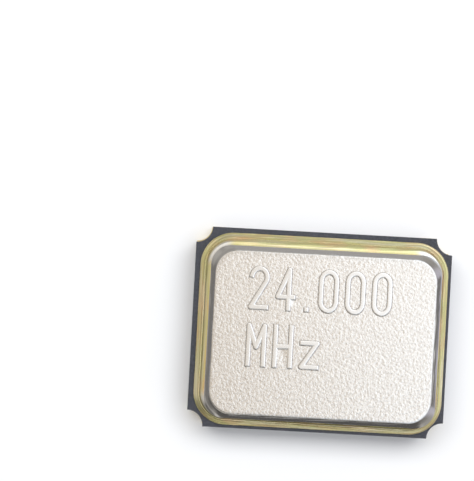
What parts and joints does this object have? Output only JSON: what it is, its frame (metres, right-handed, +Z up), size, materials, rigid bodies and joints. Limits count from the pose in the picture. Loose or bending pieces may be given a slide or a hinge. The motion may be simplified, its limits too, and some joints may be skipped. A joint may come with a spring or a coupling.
{
  "type": "crystal resonator",
  "caption": "Surface-mount quartz crystal resonator: notched black ceramic package, gold-plated corner terminals and seal ring, and a seam-welded satin metal lid.",
  "frame": {"origin": "centre of the footprint, on the board surface under the solder terminals", "axes": "+X along the long side, away from the end that holds the blank; +Y along the short side, towards the index-marked terminal; +Z up, out of the lid"},
  "size_m": [0.0032, 0.0024, 0.0008],
  "materials": {
    "black_ceramic": "matte co-fired alumina, bluish dark grey",
    "gold_plating": "satin gold plating over nickel",
    "gold_plated_braze": "gold plating over silver-copper braze, slightly streaked",
    "gold_plated_ring": "smooth gold plating over Kovar",
    "nickel_lid": "satin nickel plating over Kovar, polished at the weld",
    "quartz": "polished clear quartz",
    "electrode_metal": "bright evaporated metal film",
    "conductive_adhesive": "matte silver-filled adhesive",
    "pillow_alumina": "matte printed alumina",
    "tungsten": "sintered tungsten"
  },
  "bodies": {
    "root": {"ceramic_body": "black_ceramic", "terminal_1": "gold_plating", "terminal_2": "gold_plating", "terminal_3": "gold_plating", "terminal_4": "gold_plating", "seal_metallization": "gold_plating", "braze_fillet": "gold_plated_braze", "seal_ring": "gold_plated_ring", "lid": "nickel_lid", "quartz_blank": "quartz", "electrode_top": "electrode_metal", "electrode_bottom": "electrode_metal", "mounting_pad_a": "gold_plating", "mounting_pad_b": "gold_plating", "adhesive_dot_a": "conductive_adhesive", "adhesive_dot_b": "conductive_adhesive", "end_pillow": "pillow_alumina", "floor_trace": "tungsten", "via_terminal_1": "tungsten", "via_mounting_pad_b": "tungsten", "via_terminal_3": "tungsten", "ground_via_2": "tungsten", "ground_via_4": "tungsten"}
  },
  "joints": []
}
